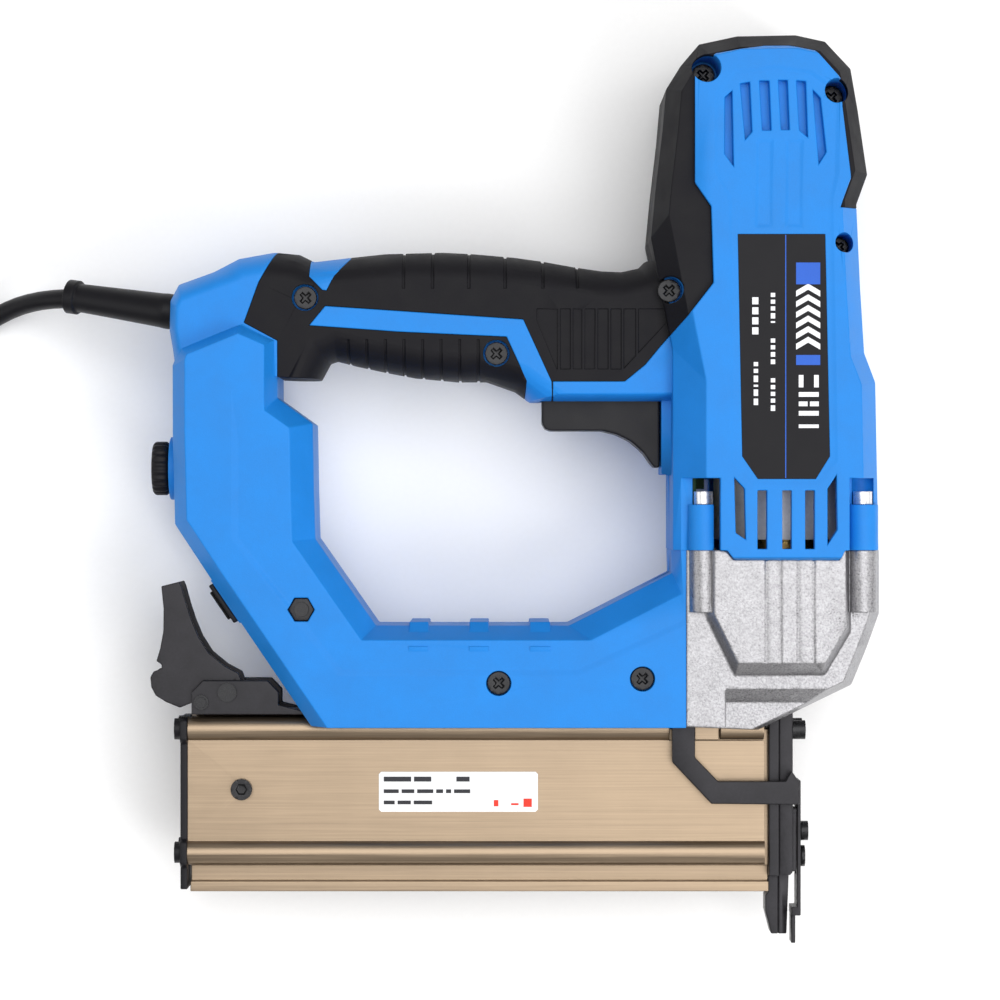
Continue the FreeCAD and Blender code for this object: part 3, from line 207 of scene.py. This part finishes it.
# material: (maker, colour, look)
finishes = {
    "blueShell": (mouldedFinish, (0.011, 0.215, 0.66), shellLook),
    "blackGrip": (mouldedFinish, (0.0065, 0.0061, 0.0084), gripLook),
    "blackPlastic": (mouldedFinish, (0.0070, 0.0067, 0.0088), plasticLook),
    "bufferRubber": (mouldedFinish, (0.035, 0.022, 0.016), gripLook),
    "boardGreen": (mouldedFinish, (0.010, 0.095, 0.03), plasticLook),
    "capacitorSleeve": (mouldedFinish, (0.012, 0.03, 0.16), filmLook),
    "cordSheath": (mouldedFinish, (0.0045, 0.0044, 0.0064), plasticLook),
    "labelBlack": (mouldedFinish, (0.0060, 0.0056, 0.0078), filmLook),
    "labelWhite": (mouldedFinish, (0.86, 0.86, 0.86), filmLook),
    "printWhite": (mouldedFinish, (0.82, 0.83, 0.86), filmLook),
    "printBlue": (mouldedFinish, (0.03, 0.12, 0.55), filmLook),
    "printGrey": (mouldedFinish, (0.035, 0.035, 0.04), filmLook),
    "printRed": (mouldedFinish, (0.72, 0.05, 0.03), filmLook),
    "castAlloy": (grainedMetal, (0.37, 0.366, 0.38), castLook),
    "champagneAlloy": (grainedMetal, (0.335, 0.254, 0.176), brushedLook),
    "blackSteel": (grainedMetal, (0.021, 0.020, 0.0235), oxideLook),
    "screwBlack": (grainedMetal, (0.020, 0.020, 0.022), screwLook),
    "zincPlate": (grainedMetal, (0.80, 0.80, 0.81), platedLook),
    "yokePlate": (grainedMetal, (0.80, 0.80, 0.81), yokeLook),
    "copperWire": (grainedMetal, (0.60, 0.25, 0.10), windingLook),
    "guideBrass": (grainedMetal, (0.62, 0.42, 0.14), platedLook),
    "bareSteel": (grainedMetal, (0.50, 0.50, 0.51), platedLook),
    "springSteel": (grainedMetal, (0.34, 0.34, 0.36), platedLook),
    "pinNickel": (grainedMetal, (0.72, 0.70, 0.66), platedLook),
}
materials = {name: maker(name, colour, look) for name, (maker, colour, look) in finishes.items()}
print("materials ready")

bodyOfNode = {
    node: body
    for body, members in frame["record"]["behaviour"]["bodies"].items()
    for node in members
}


def placed(name, data, body):
    # an object at the origin that rides on a body
    piece = bpy.data.objects.new(name, data)
    bpy.context.scene.collection.objects.link(piece)
    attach(piece, body)
    return piece


def dressed(data, material):
    data.materials.clear()
    data.materials.append(materials[material])


def smoothShading(data):
    data.polygons.foreach_set("use_smooth", np.ones(len(data.polygons), bool))
    data.update()


# Easing turns sharp edges round. Angles are in degrees and lengths in mm. moveShare is how much of
# its room a corner may use, and leastShare the least part of the full width worth rounding.
easing = {"merge": 0.002, "flat": 0.5, "corner": 18, "softCorner": 8, "broad": 3,
          "moveShare": 0.42, "leastShare": 0.38}


def isCorner(edge, breadth):
    # An edge is a corner where its faces turn enough, or turn a little beside a broad flat.
    if len(edge.link_faces) != 2:
        return False
    turn = math.degrees(edge.calc_face_angle(0))
    broadest = max(breadth[face.index] for face in edge.link_faces)
    return turn > easing["corner"] or (turn > easing["softCorner"] and broadest > easing["broad"] * mm)


def mergedMesh(source, name):
    # A face's breadth is twice its area over its edge length: about the width of a long strip.
    work = bmesh.new()
    work.from_mesh(source)
    bmesh.ops.remove_doubles(work, verts=work.verts, dist=easing["merge"] * mm)
    bmesh.ops.dissolve_limit(work, angle_limit=math.radians(easing["flat"]), verts=work.verts,
                             edges=work.edges)
    work.faces.index_update()
    breadth = [2 * face.calc_area() / max(face.calc_perimeter(), 1e-9) for face in work.faces]
    for edge in work.edges:
        edge.smooth = not isCorner(edge, breadth)
    bmesh.ops.triangulate(work, faces=work.faces)
    data = bpy.data.meshes.new(name)
    work.to_mesh(data)
    work.free()
    return data


def markEdges(data, width):
    # room at a corner = area doubled / opposite side, the least of its triangles: how far it can move
    # A sharp edge gets the full width where both its ends have room, less where they have little,
    # and stays sharp where they have next to none.
    points = np.empty(len(data.vertices) * 3)
    data.vertices.foreach_get("co", points)
    points = points.reshape(-1, 3)
    triangles = np.empty(len(data.loops), int)
    data.loops.foreach_get("vertex_index", triangles)
    triangles = triangles.reshape(-1, 3)
    ends = np.empty(len(data.edges) * 2, int)
    data.edges.foreach_get("vertices", ends)
    ends = ends.reshape(-1, 2)
    first, second, third = (points[triangles[:, place]] for place in range(3))
    doubleArea = np.linalg.norm(np.cross(second - first, third - first), axis=1)
    opposite = np.stack([third - second, first - third, second - first], axis=1)
    heights = doubleArea[:, None] / np.maximum(np.linalg.norm(opposite, axis=2), 1e-9)
    room = np.full(len(points), np.inf)
    np.minimum.at(room, triangles, heights)
    share = easing["moveShare"] * room[ends].min(axis=1) / width
    sharp = np.empty(len(data.edges), bool)
    data.attributes["sharp_edge"].data.foreach_get("value", sharp)
    weights = np.where(sharp & (share > easing["leastShare"]), np.minimum(share, 1.0), 0.0)
    weightLayer = data.attributes.new("bevel_weight_edge", "FLOAT", "EDGE")
    weightLayer.data.foreach_set("value", weights)
    data.attributes["sharp_edge"].data.foreach_set("value", sharp & (weights == 0))


def easedCopy(node, material, slotName, width, segments):
    # a copy of a CAD node with its sharp edges rounded over by a width in mm
    data = mergedMesh(frame["nodes"][node].data, node + "Eased")
    markEdges(data, width * mm)
    dressed(data, material)
    smoothShading(data)
    piece = placed(data.name, data, bodyOfNode[node])
    bevel = piece.modifiers.new("easedEdge", "BEVEL")
    bevel.width = width * mm
    bevel.segments = segments
    bevel.limit_method = "WEIGHT"
    bevel.use_clamp_overlap = False
    bevel.loop_slide = False
    weighted = piece.modifiers.new("evenNormals", "WEIGHTED_NORMAL")
    weighted.keep_sharp = True
    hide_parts(node)
    return piece


# node: (material, slot, rounding in mm, segments)
easedNodes = {
    "housing_right": ("blueShell", "blue_shell", 0.4, 2),
    "housing_left": ("blueShell", "blue_shell", 0.4, 2),
    "grip_cover_right": ("blackGrip", "black_grip", 0.3, 2),
    "grip_cover_left": ("blackGrip", "black_grip", 0.3, 2),
    "nose_casting": ("castAlloy", "cast_alloy", 0.5, 2),
    "trigger": ("blackPlastic", "black_plastic", 0.7, 3),
    "power_rocker": ("blackPlastic", "black_plastic", 0.3, 2),
    "power_switch_body": ("blackPlastic", "black_plastic", 0.4, 2),
    "latch_lever": ("blackSteel", "black_steel", 0.35, 2),
    "latch_bracket": ("blackSteel", "black_steel", 0.5, 3),
    "latch_pins": ("screwBlack", "black_steel", 0.35, 2),
    "magazine_cover": ("champagneAlloy", "champagne_alloy", 0.3, 2),
    "magazine_track": ("champagneAlloy", "champagne_alloy", 0.25, 2),
    "magazine_end_cap": ("blackPlastic", "black_plastic", 0.4, 2),
    "magazine_screw": ("screwBlack", "black_steel", 0.4, 3),
    "magazine_label": ("labelWhite", "label_white", 0.05, 1),
    "rating_labels": ("labelBlack", "label_black", 0.08, 1),
    "nose_plate_front": ("blackSteel", "black_steel", 0.4, 2),
    "nose_plate_rear": ("blackSteel", "black_steel", 0.4, 2),
    "nose_bolts": ("screwBlack", "black_steel", 0.5, 3),
    "safety_arm": ("blackSteel", "black_steel", 0.4, 2),
    "contact_foot": ("blackSteel", "black_steel", 0.3, 2),
    "contact_foot_screws": ("screwBlack", "black_steel", 0.4, 2),
    "body_screws": ("screwBlack", "black_steel", 0.4, 3),
    "body_nut": ("screwBlack", "black_steel", 0.4, 2),
    "body_bolt": ("screwBlack", "black_steel", 0.5, 3),
    "casting_bolts": ("zincPlate", "zinc_steel", 0.45, 3),
    "cord_sleeve": ("cordSheath", "cord_black", 0.4, 3),
    "plug": ("cordSheath", "cord_black", 1.4, 3),
    "plug_pins": ("pinNickel", "pin_nickel", 0.7, 3),
}
eased = {node: easedCopy(node, *setting) for node, setting in easedNodes.items()}

# CAD nodes that stay, seen only through vents and gaps: node: material
insideNodes = {
    "solenoid_yoke": "yokePlate", "coil_winding": "copperWire", "coil_bobbin": "blackPlastic",
    "guide_tube": "guideBrass", "top_stop": "bareSteel", "buffer_pad": "bufferRubber",
    "plunger": "bareSteel", "driver_blade": "bareSteel", "latch_spring": "springSteel",
    "pusher": "bareSteel", "control_board": "boardGreen", "capacitor": "capacitorSleeve",
    "trigger_switch": "blackPlastic", "nose_switch": "blackPlastic",
    "dial_potentiometer": "blackPlastic", "cord_clamp": "blackPlastic",
    "cord_clamp_screws": "zincPlate",
}
for node, material in insideNodes.items():
    dressed(frame["nodes"][node].data, material)

# spring: (joint that presses it, its direction, which end stays still)
springs = {
    "return_spring": ("plunger_stroke", straight["along"], "low"),
    "trigger_spring": ("trigger_pull", straight["along"], "high"),
    "safety_spring": ("safety_press", straight["along"], "high"),
    "pusher_spring": ("pusher_slide", straight["across"], "low"),
}


def pressedSpring(node, joint, direction, stillEnd):
    # a copy of a spring at its full length, in spring steel, riding on its body; joint, direction and
    # stillEnd are not used
    data = frame["nodes"][node].data.copy()
    data.name = node + "Pressed"
    dressed(data, "springSteel")
    piece = placed(data.name, data, bodyOfNode[node])
    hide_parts(node)
    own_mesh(piece)


for node, setting in springs.items():
    pressedSpring(node, *setting)
print("CAD pieces finished")

# Cord, in mm but for its length in metres: a run down from the tool, six turns of a coil, and a tail
# to the plug.
cordSetting = {
    "radius": 3.4, "roundness": 5, "length": 1.66, "coilCentre": (-262, 0), "turnPoints": 16,
    "innerTurn": 31, "outerTurn": 45.2, "slack": 1.01, "layers": (4.7, 11.7, 18.7),
    "route": [(-98, 58.4, 36), (-128, 63.3, 36), (-160, 68.6, 24), (-186, 64, 3.5), (-211, 42, 3.5),
              (-216.8, 14, 4.2)],
    "tail": [(-216.9, -16, 18.2), (-216.9, -34, 15), (-217, -54, 11)],
}


def coilPoints(setting):
    # In over two turns, up one layer, out over two more, and up again over the last one.
    # The radius and the height run straight between the named turns, and the angle falls evenly.
    low, middle, high = setting["layers"]
    inner, outer = setting["innerTurn"], setting["outerTurn"]
    turnsAt = [0, 2, 3, 5, 6]
    turns = np.arange(0, turnsAt[-1] + 1e-9, 1 / setting["turnPoints"])
    radius = np.interp(turns, turnsAt, [outer, inner, inner, outer, outer]) * setting["slack"]
    height = np.interp(turns, turnsAt, [low, low, middle, middle, high])
    angle = -2 * math.pi * turns
    centreX, centreY = setting["coilCentre"]
    return np.column_stack([centreX + radius * np.cos(angle), centreY + radius * np.sin(angle), height])


cordPoints = np.vstack([cordSetting["route"], coilPoints(cordSetting), cordSetting["tail"]]) * mm
cordData = bpy.data.curves.new("mainsCord", "CURVE")
cordData.dimensions = "3D"
cordData.bevel_depth = cordSetting["radius"] * mm
cordData.bevel_resolution = cordSetting["roundness"]
cordData.resolution_u = 6
cordData.use_fill_caps = True
cordLine = cordData.splines.new("NURBS")
cordLine.points.add(len(cordPoints) - 1)
cordLine.points.foreach_set("co", np.column_stack([cordPoints, np.ones(len(cordPoints))]).ravel())
cordLine.order_u = 3
cordLine.use_endpoint_u = True
cordData.materials.append(materials["cordSheath"])
mainsCord = placed("mainsCord", cordData, "tool")
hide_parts("power_cord", "cord_coil")


def meshPiece(name, points, faces, material, body):
    # a new piece from points and faces, with its faces turned outwards
    data = bpy.data.meshes.new(name)
    data.from_pydata(points.tolist(), [], faces)
    work = bmesh.new()
    work.from_mesh(data)
    bmesh.ops.recalc_face_normals(work, faces=work.faces)
    work.to_mesh(data)
    work.free()
    dressed(data, material)
    return placed(name, data, body)


def gridPiece(name, points, material, body, capEnds=False):
    # a mesh over a grid of points, rows by columns, whose columns close on themselves
    rows, columns = points.shape[:2]
    row, column = np.meshgrid(np.arange(rows - 1), np.arange(columns), indexing="ij")
    following = (column + 1) % columns
    quads = np.stack([row * columns + column, row * columns + following,
                      (row + 1) * columns + following, (row + 1) * columns + column], -1)
    faces = quads.reshape(-1, 4).tolist()
    if capEnds:
        faces.append(list(range(columns))[::-1])
        faces.append(list(range((rows - 1) * columns, rows * columns)))
    piece = meshPiece(name, points.reshape(-1, 3), faces, material, body)
    smoothShading(piece.data)
    piece.data.set_sharp_from_angle(angle=math.radians(sharpTurn))
    return piece


# Tie, in mm. Its section is (side, grow): a place across the half width, and a share of the thickness.
tieSetting = {
    "place": (-262, -38, 11.7), "reach": (11.9, 11.6), "width": 7.6, "thick": 1.1,
    "squareness": 3.84, "around": 72,
    "section": [(-1, 0.25), (-0.85, 1), (0.85, 1), (1, 0.25), (0.85, 0), (-0.85, 0), (-1, 0.25)],
}


def tieBand(setting):
    # direction = sign(c) * |c| ^ (2 / squareness), with c the cosine for y and the sine for z
    # point = place + direction * (reach - thick + grow * thick), for each row of the section
    angle = np.linspace(0, 2 * math.pi, setting["around"], endpoint=False)
    circle = np.stack([np.cos(angle), np.sin(angle)], -1)
    direction = np.sign(circle) * np.abs(circle) ** (2 / setting["squareness"])
    section = np.array(setting["section"])
    reach = np.array(setting["reach"]) - setting["thick"] + section[:, 1:] * setting["thick"]
    band = np.empty((len(section), setting["around"], 3))
    band[..., 0] = setting["place"][0] + section[:, :1] * setting["width"] / 2
    band[..., 1:] = np.array(setting["place"][1:]) + reach[:, None, :] * direction[None, :, :]
    return band * mm


cordTie = gridPiece("cordTie", tieBand(tieSetting), "blackPlastic", "tool")
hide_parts("cord_tie")
print("cord laid")

# Force knob, in mm. Its profile is (distance from the base, radius).
knobSetting = {
    "centre": (7.2, 36.0), "base": -120.8, "flutes": 22, "flutePoints": 10, "fluteDepth": 0.45,
    "fluteStart": 8.0, "fluteBlend": 0.8, "fluteSteepness": 1.6,
    "profile": [(0.0, 6.0), (0.0, 8.5), (0.35, 8.9), (0.9, 9.35), (4.5, 9.35), (5.2, 9.0), (5.7, 8.2),
                (5.75, 7.0), (5.5, 6.6), (5.5, 0.4)],
}


def knobSurface(setting):
    # wave = (cosine of the flutes, steepened and held within -1 and 1) / 2 - 1/2, so from -1 to 0
    # radius = profile + wave * flute depth, fading in from the radius where the flutes start
    angle = np.linspace(0, 2 * math.pi, setting["flutes"] * setting["flutePoints"], endpoint=False)
    wave = np.clip(np.cos(angle * setting["flutes"]) * setting["fluteSteepness"], -1, 1) * 0.5 - 0.5
    profile = np.array(setting["profile"])
    plain = profile[:, 1:]
    fluted = np.clip((plain - setting["fluteStart"]) / setting["fluteBlend"], 0, 1)
    radius = plain + wave[None, :] * setting["fluteDepth"] * fluted
    x = np.broadcast_to(setting["base"] - profile[:, :1], radius.shape)
    y = setting["centre"][0] + radius * np.cos(angle)
    z = setting["centre"][1] + radius * np.sin(angle)
    return np.stack([x, y, z], -1) * mm


forceKnob = gridPiece("forceKnob", knobSurface(knobSetting), "blackPlastic", "force_knob",
                      capEnds=True)
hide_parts("force_knob")


def printed(name, shapes, low, material, body):
    # Thin raised ink: each outline is laid at two heights and its rings are joined by side faces.
    points = []
    faces = []
    start = 0
    for corners in shapes:
        count = len(corners)
        bottom = start + np.arange(count)
        following = start + (np.arange(count) + 1) % count
        sides = np.column_stack([bottom, following, following + count, bottom + count])
        faces += [(bottom + count).tolist(), bottom[::-1].tolist(), *sides.tolist()]
        points += [np.column_stack([corners, np.full(count, height)])
                   for height in (low, low + inkSetting["rise"])]
        start += 2 * count
    return meshPiece(name, np.vstack(points) * mm, faces, material, body)


def bar(x, y, wide, tall):
    # an upright bar with its lower left corner at (x, y)
    return [(x, y), (x + wide, y), (x + wide, y + tall), (x, y + tall)]


def markColumn(x, top, wide, lengths, gap):
    # marks one below the other, each of its own length
    tops = top - np.cumsum([0] + [length + gap for length in lengths[:-1]])
    return [bar(x, start - length, wide, length) for start, length in zip(tops, lengths)]


def markRow(x, y, tall, lengths, gap):
    # marks side by side, each of its own length
    starts = x + np.cumsum([0] + [length + gap for length in lengths[:-1]])
    return [bar(start, y, length, tall) for start, length in zip(starts, lengths)]


def chevron(x, y, reach, rise, thick):
    # a chevron pointing up, from its lower left corner
    middle = x + reach / 2
    return [(x, y), (middle, y + rise), (x + reach, y), (x + reach, y + thick),
            (middle, y + rise + thick), (x, y + thick)]


# Label inks, in mm: bars are (x, y, width, height), columns are (x, top, width, lengths, gap) and rows
# are (x, y, height, lengths, gap).
inkSetting = {
    "rise": 0.06, "ratingTop": 71.65, "plateTop": 45.7,
    "ratingBlue": [(91.6, 3.6, 0.35, 82.6), (95.3, 69.4, 8.2, 7.4), (95.3, 42.0, 8.2, 3.4)],
    "chevronStart": (95.3, 47.2), "chevronCount": 6, "chevronStep": 3.6, "chevronShape": (8.2, 2.4, 2.0),
    "ratingBlocks": [(96.2, 31.2, 6.8, 1.6), (96.2, 28.0, 3.0, 1.6), (100.0, 28.0, 3.0, 1.6),
                     (96.2, 24.8, 6.8, 1.6), (96.2, 34.4, 1.6, 4.2), (101.4, 34.4, 1.6, 4.2),
                     (96.2, 20.6, 6.8, 1.2)],
    "ratingColumns": [(86.7, 66.5, 1.5, [1.4, 1.4, 1.4, 1.8, 0.6], 0.9),
                      (86.7, 51.0, 1.5, [1.4, 1.4, 1.6, 1.6], 0.9),
                      (86.7, 37.5, 1.5, [1.4, 1.4, 1.4, 1.4, 1.9], 0.9),
                      (80.4, 65.0, 2.1, [2.4, 2.4, 2.4, 2.4], 1.0),
                      (80.9, 43.0, 1.5, [1.4, 1.4, 2.2, 0.7, 2.2, 2.2], 0.9)],
    "plateRows": [(-45.6, -101.6, 1.7, [9.5, 6.0], 1.0),
                  (-20.4, -101.6, 1.7, [4.6], 1.0),
                  (-45.6, -105.6, 1.3, [5.2, 4.4, 5.6, 2.4, 1.8, 5.6], 1.0),
                  (-45.6, -109.5, 1.3, [3.8, 4.6, 6.4], 1.0)],
    "plateRed": [(-7.4, -110.2, 1.6, 2.2), (-1.4, -109.8, 2.6, 0.7), (2.9, -110.4, 2.9, 2.9)],
}
chevronX, chevronY = inkSetting["chevronStart"]
blueShapes = [bar(*setting) for setting in inkSetting["ratingBlue"]]
whiteShapes = [chevron(chevronX, chevronY + step * inkSetting["chevronStep"], *inkSetting["chevronShape"])
               for step in range(inkSetting["chevronCount"])]
whiteShapes += [bar(*setting) for setting in inkSetting["ratingBlocks"]]
for setting in inkSetting["ratingColumns"]:
    whiteShapes += markColumn(*setting)
rightInk = inkSetting["ratingTop"]
leftInk = 2 * midHeight - inkSetting["ratingTop"] - inkSetting["rise"]
for ending, height in (("", rightInk), ("Back", leftInk)):
    printed("ratingRule" + ending, blueShapes, height, "printBlue", "tool")
    printed("ratingChevrons" + ending, whiteShapes, height, "printWhite", "tool")

plateShapes = []
for setting in inkSetting["plateRows"]:
    plateShapes += markRow(*setting)
redShapes = [bar(*setting) for setting in inkSetting["plateRed"]]
plateInk = inkSetting["plateTop"]
printed("plateMarks", plateShapes, plateInk, "printGrey", "magazine_cover")
printed("plateAccents", redShapes, plateInk, "printRed", "magazine_cover")
print("labels printed")

# Table, light and tone.
stageSetting = {"half": 3.0, "sink": 0.0002, "paper": (0.98, 0.98, 0.98), "fibreTone": 0.985,
                "fibreScale": 500, "airColour": (1.0, 0.99, 0.985, 1), "airStrength": 0.42,
                "aim": (0.0, 0.0, 0.03)}
# light: (place, size, power)
lights = {
    "overhead": ((0.15, 0.35, 1.75), 1.6, 21),
    "keyRight": ((0.75, -0.75, 1.15), 0.7, 10),
    "fillLeft": ((-1.10, -0.10, 0.75), 0.9, 3),
    "fillRight": ((1.15, 0.15, 0.70), 0.9, 3),
}

paper, nodes, links, shader = newFinish("tablePaper", 0.85)
fibre = grainNoise(nodes, links, grainCoords(nodes, links), stageSetting["fibreScale"], rough=0.5)
darkPaper = tinted(stageSetting["paper"], stageSetting["fibreTone"])
tone = ramp(nodes, links, fibre, darkPaper, stageSetting["paper"])
links.new(tone, shader.inputs["Base Color"])
half = stageSetting["half"]
tableCorners = [(-half, -half, 0), (half, -half, 0), (half, half, 0), (-half, half, 0)]
tableData = bpy.data.meshes.new("tableTop")
tableData.from_pydata(tableCorners, [], [(0, 1, 2, 3)])
tableData.materials.append(paper)
tableTop = bpy.data.objects.new("tableTop", tableData)
tableTop.location.z = -stageSetting["sink"]
bpy.context.scene.collection.objects.link(tableTop)

for name, (place, size, power) in lights.items():
    lightData = bpy.data.lights.new(name, "AREA")
    lightData.shape = "SQUARE"
    lightData.size = size
    lightData.energy = power
    lamp = bpy.data.objects.new(name, lightData)
    lamp.location = place
    toAim = Vector(stageSetting["aim"]) - Vector(place)
    lamp.rotation_euler = toAim.to_track_quat("-Z", "Y").to_euler()
    bpy.context.scene.collection.objects.link(lamp)

world = bpy.data.worlds.new("studioAir")
world.use_nodes = True
background = world.node_tree.nodes["Background"]
background.inputs["Color"].default_value = stageSetting["airColour"]
background.inputs["Strength"].default_value = stageSetting["airStrength"]
bpy.context.scene.world = world
bpy.context.scene.view_settings.view_transform = "Standard"
print("stage lit")
